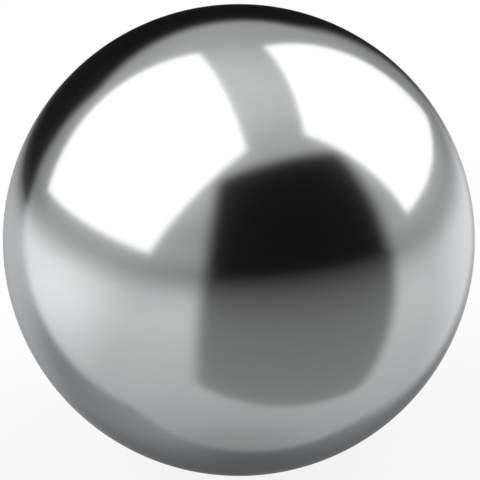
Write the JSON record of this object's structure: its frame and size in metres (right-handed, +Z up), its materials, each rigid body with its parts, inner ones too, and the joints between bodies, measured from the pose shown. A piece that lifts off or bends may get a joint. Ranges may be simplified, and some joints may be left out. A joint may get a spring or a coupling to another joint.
{
  "type": "steel ball",
  "caption": "Solid polished steel ball, a true sphere that rolls or seats in a cup, ring or race.",
  "frame": {"origin": "centre of the ball", "axes": "+Z up; the ball is a true sphere, so every direction through its centre is alike"},
  "size_m": [0.0254, 0.0254, 0.0254],
  "materials": {
    "polished_steel": "polished"
  },
  "bodies": {
    "root": {"ball": "polished_steel"}
  },
  "joints": []
}
